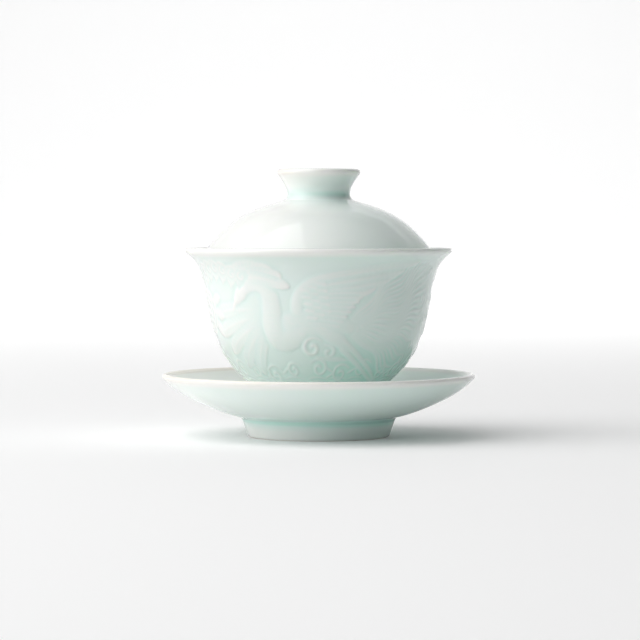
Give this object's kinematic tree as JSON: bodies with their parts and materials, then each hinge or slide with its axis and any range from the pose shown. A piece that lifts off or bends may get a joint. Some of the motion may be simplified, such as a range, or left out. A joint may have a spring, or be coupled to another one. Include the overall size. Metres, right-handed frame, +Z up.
{
  "type": "gaiwan",
  "caption": "Flared tea bowl with a domed lid that lifts by a hollow knob, standing on a footed saucer, in pale green glazed porcelain with a moulded bird relief.",
  "frame": {"origin": "centre of the saucer's foot ring, on the surface that the saucer stands on", "axes": "+Z up, along the turning axis that the saucer, bowl and lid share; the relief's bird faces -Y, the front"},
  "size_m": [0.1148, 0.1148, 0.098],
  "materials": {
    "celadon_glaze": "gloss"
  },
  "bodies": {
    "saucer": {"saucer": "celadon_glaze"},
    "bowl": {"bowl": "celadon_glaze"},
    "lid": {"lid": "celadon_glaze"}
  },
  "joints": [
    {"name": "bowl_lift", "type": "slide", "parent": "saucer", "child": "bowl", "axis": [0, 0, 1], "range_m": [0, 0.06]},
    {"name": "lid_lift", "type": "slide", "parent": "bowl", "child": "lid", "axis": [0, 0, 1], "range_m": [0, 0.08]}
  ]
}
